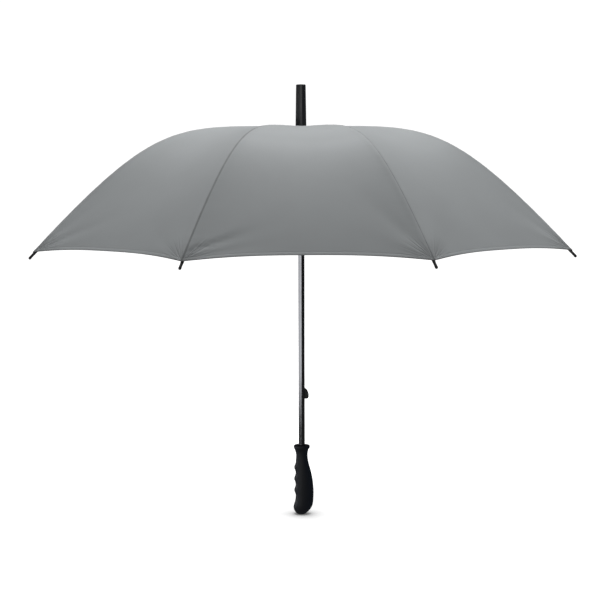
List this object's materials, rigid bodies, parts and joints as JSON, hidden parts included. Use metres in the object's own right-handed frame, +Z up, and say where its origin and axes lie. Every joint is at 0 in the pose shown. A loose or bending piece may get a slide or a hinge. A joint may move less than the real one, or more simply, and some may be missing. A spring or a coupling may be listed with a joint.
{
  "type": "stick umbrella",
  "caption": "Open stick umbrella with a domed fabric canopy, folding jointed ribs, sliding runner, sprung catches on a tubular shaft, and a grip with finger ridges.",
  "frame": {"origin": "lowest point of the grip, on the shaft's axis", "axes": "+Z up the shaft from grip to ferrule; the catches face +X, the finger ridges face -X, and one canopy panel faces -Y"},
  "size_m": [0.9476, 0.9476, 0.8114],
  "materials": {
    "canopy_fabric": "satin reflective weave",
    "shaft_paint": "satin",
    "rib_steel": "semi-gloss",
    "rib_rod": "satin fibreglass",
    "tip_plastic": "gloss",
    "moulded_plastic": "fine moulded",
    "ferrule_plastic": "satin",
    "grip_rubber": "matte foam",
    "bare_steel": "drawn wire"
  },
  "bodies": {
    "frame": {"shaft_tube": "shaft_paint", "handle_grip": "grip_rubber", "handle_core": "moulded_plastic", "ferrule": "ferrule_plastic", "ferrule_washer": "moulded_plastic", "top_notch": "moulded_plastic", "notch_pin": "bare_steel", "notch_wire": "bare_steel", "runner_stop_pin": "bare_steel", "top_catch_spring": "bare_steel", "bottom_catch_spring": "bare_steel"},
    "runner": {"runner": "moulded_plastic", "runner_wire": "bare_steel"},
    "top_catch": {"top_catch": "moulded_plastic"},
    "bottom_catch": {"bottom_catch": "moulded_plastic"},
    "rib_arm_1": {"rib_inner_1": "rib_steel", "canopy_panel_1": "canopy_fabric"},
    "rib_end_1": {"rib_outer_1": "rib_rod", "rib_tip_1": "tip_plastic"},
    "stretcher_arm_1": {"stretcher_1": "rib_steel"},
    "rib_arm_2": {"rib_inner_2": "rib_steel", "canopy_panel_2": "canopy_fabric"},
    "rib_end_2": {"rib_outer_2": "rib_rod", "rib_tip_2": "tip_plastic"},
    "stretcher_arm_2": {"stretcher_2": "rib_steel"},
    "rib_arm_3": {"rib_inner_3": "rib_steel", "canopy_panel_3": "canopy_fabric"},
    "rib_end_3": {"rib_outer_3": "rib_rod", "rib_tip_3": "tip_plastic"},
    "stretcher_arm_3": {"stretcher_3": "rib_steel"},
    "rib_arm_4": {"rib_inner_4": "rib_steel", "canopy_panel_4": "canopy_fabric"},
    "rib_end_4": {"rib_outer_4": "rib_rod", "rib_tip_4": "tip_plastic"},
    "stretcher_arm_4": {"stretcher_4": "rib_steel"},
    "rib_arm_5": {"rib_inner_5": "rib_steel", "canopy_panel_5": "canopy_fabric"},
    "rib_end_5": {"rib_outer_5": "rib_rod", "rib_tip_5": "tip_plastic"},
    "stretcher_arm_5": {"stretcher_5": "rib_steel"},
    "rib_arm_6": {"rib_inner_6": "rib_steel", "canopy_panel_6": "canopy_fabric"},
    "rib_end_6": {"rib_outer_6": "rib_rod", "rib_tip_6": "tip_plastic"},
    "stretcher_arm_6": {"stretcher_6": "rib_steel"},
    "rib_arm_7": {"rib_inner_7": "rib_steel", "canopy_panel_7": "canopy_fabric"},
    "rib_end_7": {"rib_outer_7": "rib_rod", "rib_tip_7": "tip_plastic"},
    "stretcher_arm_7": {"stretcher_7": "rib_steel"},
    "rib_arm_8": {"rib_inner_8": "rib_steel", "canopy_panel_8": "canopy_fabric"},
    "rib_end_8": {"rib_outer_8": "rib_rod", "rib_tip_8": "tip_plastic"},
    "stretcher_arm_8": {"stretcher_8": "rib_steel"}
  },
  "joints": [
    {"name": "runner_slide", "type": "slide", "parent": "frame", "child": "runner", "axis": [0, 0, -1], "range_m": [0, 0.3079], "deforming": ["top_catch", "bottom_catch", "canopy_panel_1", "canopy_panel_2", "canopy_panel_3", "canopy_panel_4", "canopy_panel_5", "canopy_panel_6", "canopy_panel_7", "canopy_panel_8"]},
    {"name": "rib_fold_1", "type": "hinge", "parent": "frame", "child": "rib_arm_1", "pos_m": [0.00383, -0.00924, 0.73039], "axis": [0.9239, 0.3827, 0], "range_deg": [0, 83.5]},
    {"name": "rib_flex_1", "type": "hinge", "parent": "rib_arm_1", "child": "rib_end_1", "pos_m": [0.10026, -0.24206, 0.70622], "axis": [0.9239, 0.3827, 0], "range_deg": [-33.35, 0]},
    {"name": "stretcher_fold_1", "type": "hinge", "parent": "runner", "child": "stretcher_arm_1", "pos_m": [0.00829, -0.00956, 0.5775], "axis": [0.9239, 0.3827, 0], "range_deg": [-53.88, 0]},
    {"name": "rib_fold_2", "type": "hinge", "parent": "frame", "child": "rib_arm_2", "pos_m": [0.00924, -0.00383, 0.73039], "axis": [0.3827, 0.9239, 0], "range_deg": [0, 83.5]},
    {"name": "rib_flex_2", "type": "hinge", "parent": "rib_arm_2", "child": "rib_end_2", "pos_m": [0.24206, -0.10026, 0.70622], "axis": [0.3827, 0.9239, 0], "range_deg": [-33.35, 0]},
    {"name": "stretcher_fold_2", "type": "hinge", "parent": "runner", "child": "stretcher_arm_2", "pos_m": [0.01262, -0.0009, 0.5775], "axis": [0.3827, 0.9239, 0], "range_deg": [-53.88, 0]},
    {"name": "rib_fold_3", "type": "hinge", "parent": "frame", "child": "rib_arm_3", "pos_m": [0.00924, 0.00383, 0.73039], "axis": [-0.3827, 0.9239, 0], "range_deg": [0, 83.5]},
    {"name": "rib_flex_3", "type": "hinge", "parent": "rib_arm_3", "child": "rib_end_3", "pos_m": [0.24206, 0.10026, 0.70622], "axis": [-0.3827, 0.9239, 0], "range_deg": [-33.35, 0]},
    {"name": "stretcher_fold_3", "type": "hinge", "parent": "runner", "child": "stretcher_arm_3", "pos_m": [0.00956, 0.00829, 0.5775], "axis": [-0.3827, 0.9239, 0], "range_deg": [-53.88, 0]},
    {"name": "rib_fold_4", "type": "hinge", "parent": "frame", "child": "rib_arm_4", "pos_m": [0.00383, 0.00924, 0.73039], "axis": [-0.9239, 0.3827, 0], "range_deg": [0, 83.5]},
    {"name": "rib_flex_4", "type": "hinge", "parent": "rib_arm_4", "child": "rib_end_4", "pos_m": [0.10026, 0.24206, 0.70622], "axis": [-0.9239, 0.3827, 0], "range_deg": [-33.35, 0]},
    {"name": "stretcher_fold_4", "type": "hinge", "parent": "runner", "child": "stretcher_arm_4", "pos_m": [0.0009, 0.01262, 0.5775], "axis": [-0.9239, 0.3827, 0], "range_deg": [-53.88, 0]},
    {"name": "rib_fold_5", "type": "hinge", "parent": "frame", "child": "rib_arm_5", "pos_m": [-0.00383, 0.00924, 0.73039], "axis": [-0.9239, -0.3827, 0], "range_deg": [0, 83.5]},
    {"name": "rib_flex_5", "type": "hinge", "parent": "rib_arm_5", "child": "rib_end_5", "pos_m": [-0.10026, 0.24206, 0.70622], "axis": [-0.9239, -0.3827, 0], "range_deg": [-33.35, 0]},
    {"name": "stretcher_fold_5", "type": "hinge", "parent": "runner", "child": "stretcher_arm_5", "pos_m": [-0.00829, 0.00956, 0.5775], "axis": [-0.9239, -0.3827, 0], "range_deg": [-53.88, 0]},
    {"name": "rib_fold_6", "type": "hinge", "parent": "frame", "child": "rib_arm_6", "pos_m": [-0.00924, 0.00383, 0.73039], "axis": [-0.3827, -0.9239, 0], "range_deg": [0, 83.5]},
    {"name": "rib_flex_6", "type": "hinge", "parent": "rib_arm_6", "child": "rib_end_6", "pos_m": [-0.24206, 0.10026, 0.70622], "axis": [-0.3827, -0.9239, 0], "range_deg": [-33.35, 0]},
    {"name": "stretcher_fold_6", "type": "hinge", "parent": "runner", "child": "stretcher_arm_6", "pos_m": [-0.01262, 0.0009, 0.5775], "axis": [-0.3827, -0.9239, 0], "range_deg": [-53.88, 0]},
    {"name": "rib_fold_7", "type": "hinge", "parent": "frame", "child": "rib_arm_7", "pos_m": [-0.00924, -0.00383, 0.73039], "axis": [0.3827, -0.9239, 0], "range_deg": [0, 83.5]},
    {"name": "rib_flex_7", "type": "hinge", "parent": "rib_arm_7", "child": "rib_end_7", "pos_m": [-0.24206, -0.10026, 0.70622], "axis": [0.3827, -0.9239, 0], "range_deg": [-33.35, 0]},
    {"name": "stretcher_fold_7", "type": "hinge", "parent": "runner", "child": "stretcher_arm_7", "pos_m": [-0.00956, -0.00829, 0.5775], "axis": [0.3827, -0.9239, 0], "range_deg": [-53.88, 0]},
    {"name": "rib_fold_8", "type": "hinge", "parent": "frame", "child": "rib_arm_8", "pos_m": [-0.00383, -0.00924, 0.73039], "axis": [0.9239, -0.3827, 0], "range_deg": [0, 83.5]},
    {"name": "rib_flex_8", "type": "hinge", "parent": "rib_arm_8", "child": "rib_end_8", "pos_m": [-0.10026, -0.24206, 0.70622], "axis": [0.9239, -0.3827, 0], "range_deg": [-33.35, 0]},
    {"name": "stretcher_fold_8", "type": "hinge", "parent": "runner", "child": "stretcher_arm_8", "pos_m": [-0.0009, -0.01262, 0.5775], "axis": [0.9239, -0.3827, 0], "range_deg": [-53.88, 0]},
    {"name": "top_catch_press", "type": "slide", "parent": "frame", "child": "top_catch", "axis": [-1, 0, 0], "range_m": [0, 0.0073], "stiffness_N_per_m": 400, "springref_m": -0.003, "deforming": ["top_catch_spring"]},
    {"name": "bottom_catch_press", "type": "slide", "parent": "frame", "child": "bottom_catch", "axis": [-1, 0, 0], "range_m": [0, 0.0073], "stiffness_N_per_m": 400, "springref_m": -0.003, "deforming": ["bottom_catch_spring"]}
  ],
  "couplings": [
    {"joint": "rib_fold_1", "follows": "runner_slide", "rad_per_m": 4.7333},
    {"joint": "rib_flex_1", "follows": "runner_slide", "rad_per_m": -1.8904},
    {"joint": "stretcher_fold_1", "follows": "runner_slide", "rad_per_m": -3.0542},
    {"joint": "rib_fold_2", "follows": "runner_slide", "rad_per_m": 4.7333},
    {"joint": "rib_flex_2", "follows": "runner_slide", "rad_per_m": -1.8904},
    {"joint": "stretcher_fold_2", "follows": "runner_slide", "rad_per_m": -3.0542},
    {"joint": "rib_fold_3", "follows": "runner_slide", "rad_per_m": 4.7333},
    {"joint": "rib_flex_3", "follows": "runner_slide", "rad_per_m": -1.8904},
    {"joint": "stretcher_fold_3", "follows": "runner_slide", "rad_per_m": -3.0542},
    {"joint": "rib_fold_4", "follows": "runner_slide", "rad_per_m": 4.7333},
    {"joint": "rib_flex_4", "follows": "runner_slide", "rad_per_m": -1.8904},
    {"joint": "stretcher_fold_4", "follows": "runner_slide", "rad_per_m": -3.0542},
    {"joint": "rib_fold_5", "follows": "runner_slide", "rad_per_m": 4.7333},
    {"joint": "rib_flex_5", "follows": "runner_slide", "rad_per_m": -1.8904},
    {"joint": "stretcher_fold_5", "follows": "runner_slide", "rad_per_m": -3.0542},
    {"joint": "rib_fold_6", "follows": "runner_slide", "rad_per_m": 4.7333},
    {"joint": "rib_flex_6", "follows": "runner_slide", "rad_per_m": -1.8904},
    {"joint": "stretcher_fold_6", "follows": "runner_slide", "rad_per_m": -3.0542},
    {"joint": "rib_fold_7", "follows": "runner_slide", "rad_per_m": 4.7333},
    {"joint": "rib_flex_7", "follows": "runner_slide", "rad_per_m": -1.8904},
    {"joint": "stretcher_fold_7", "follows": "runner_slide", "rad_per_m": -3.0542},
    {"joint": "rib_fold_8", "follows": "runner_slide", "rad_per_m": 4.7333},
    {"joint": "rib_flex_8", "follows": "runner_slide", "rad_per_m": -1.8904},
    {"joint": "stretcher_fold_8", "follows": "runner_slide", "rad_per_m": -3.0542}
  ]
}
